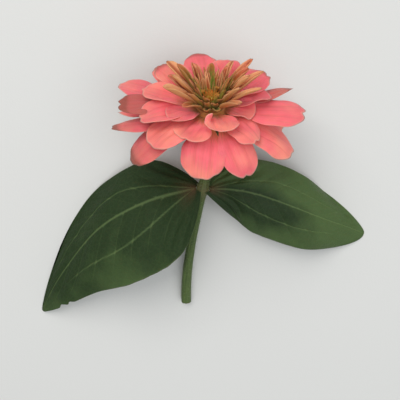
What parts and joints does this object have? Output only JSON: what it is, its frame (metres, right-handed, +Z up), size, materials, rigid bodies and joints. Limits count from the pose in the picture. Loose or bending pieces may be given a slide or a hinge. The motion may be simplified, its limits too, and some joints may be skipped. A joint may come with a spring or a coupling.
{
  "type": "zinnia flower",
  "caption": "Salmon pink double zinnia on its cut stem with a pair of broad stalkless leaves, lying on a surface.",
  "frame": {"origin": "on the surface that the flower lies on, under the middle of its outline seen from above", "axes": "+Z up from the surface, +Y along the stem towards the bloom, +X across the pair of leaves"},
  "size_m": [0.1676, 0.1331, 0.0585],
  "materials": {
    "coral_rays": "satin",
    "young_rays": "satin",
    "disc": "matte",
    "involucre": "satin",
    "stem": "satin",
    "leaf": "satin"
  },
  "bodies": {
    "root": {"coral_rays": "coral_rays", "young_rays": "young_rays", "disc": "disc", "involucre": "involucre", "stem": "stem", "leaf_left": "leaf", "leaf_right": "leaf"}
  },
  "joints": []
}
